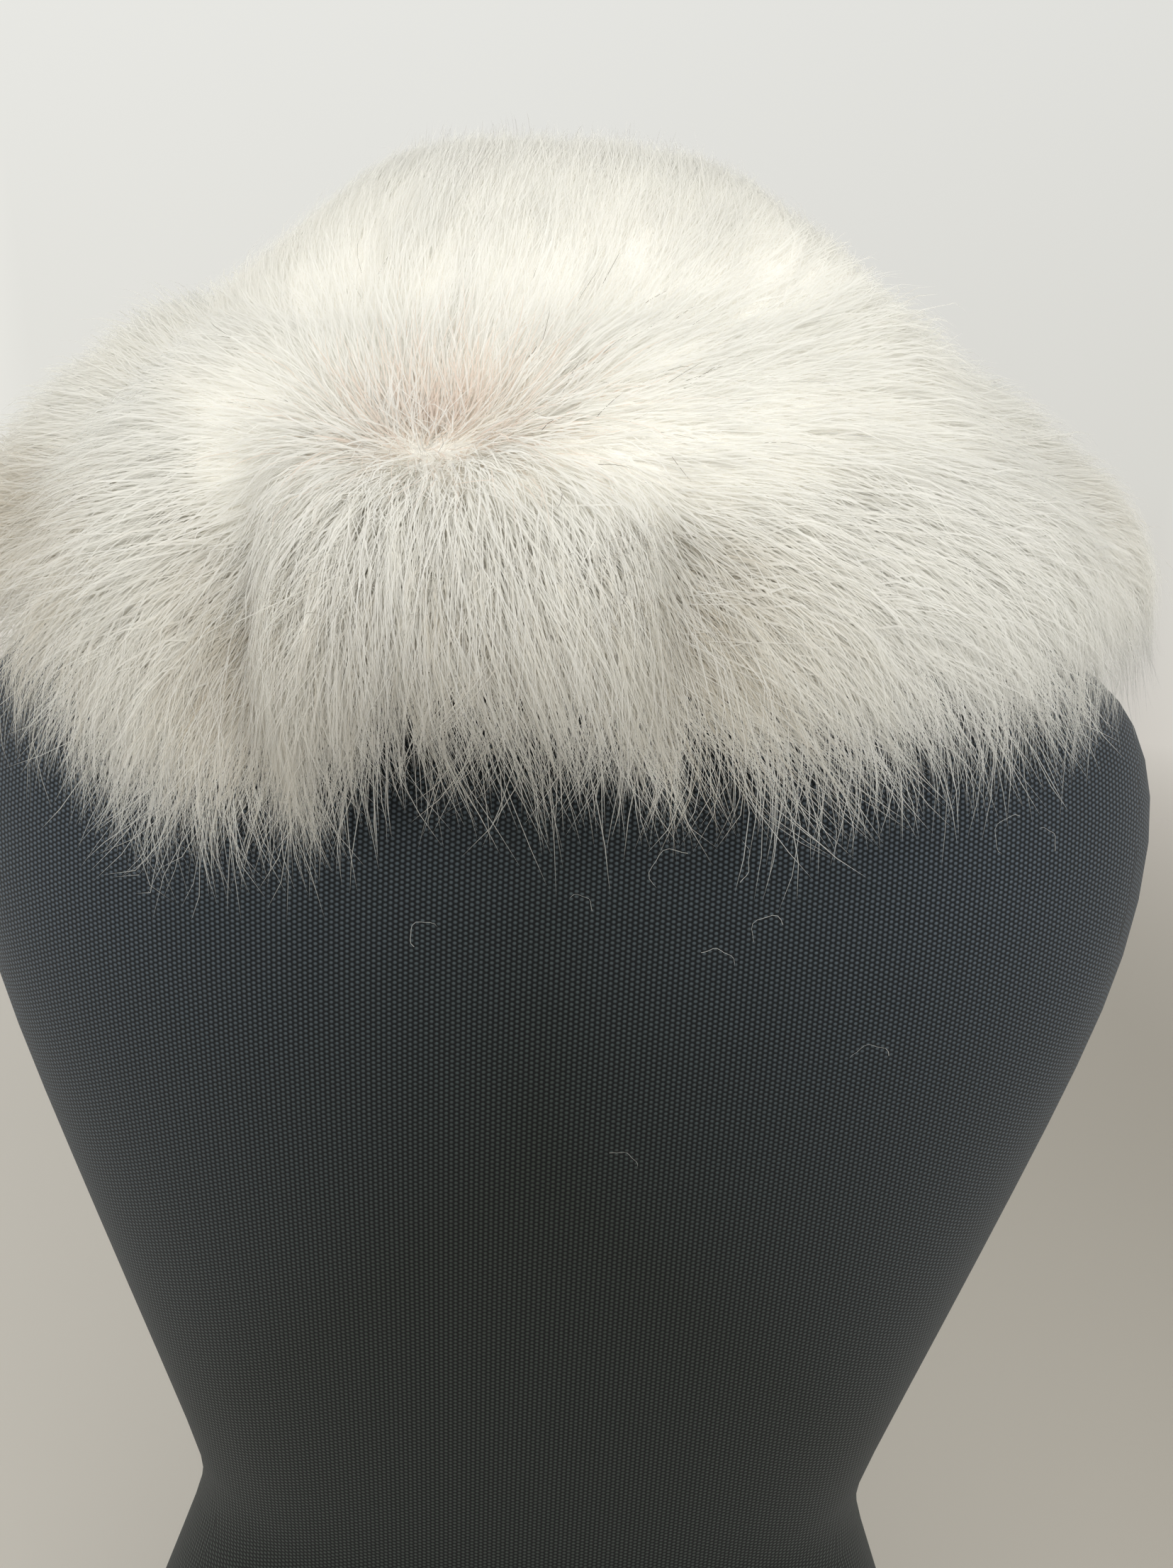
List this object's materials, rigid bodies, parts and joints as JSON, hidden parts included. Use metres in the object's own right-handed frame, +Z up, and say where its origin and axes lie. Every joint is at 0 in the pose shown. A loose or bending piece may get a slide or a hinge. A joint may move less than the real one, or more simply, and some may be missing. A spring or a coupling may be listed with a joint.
{
  "type": "fur collar wrap on a dress form",
  "caption": "Fluffy white fox fur collar wrap draped round the neck and shoulders of a limbless dark jersey dress form that stands on its flat base.",
  "frame": {"origin": "middle of the flat base that the dress form stands on, below its neck axis", "axes": "+Z up; the form faces -Y, so its back is towards +Y and its left is +X"},
  "size_m": [0.387, 0.3088, 0.7399],
  "materials": {
    "jersey": "matt slate knit, fine raised stitches",
    "suede": "matt cream dressed pelt leather",
    "fur": "soft ivory white fox hair, satin"
  },
  "bodies": {
    "root": {"form_body": "jersey", "leather_left": "suede", "leather_right": "suede", "fur_left": "fur", "fur_right": "fur"}
  },
  "joints": []
}
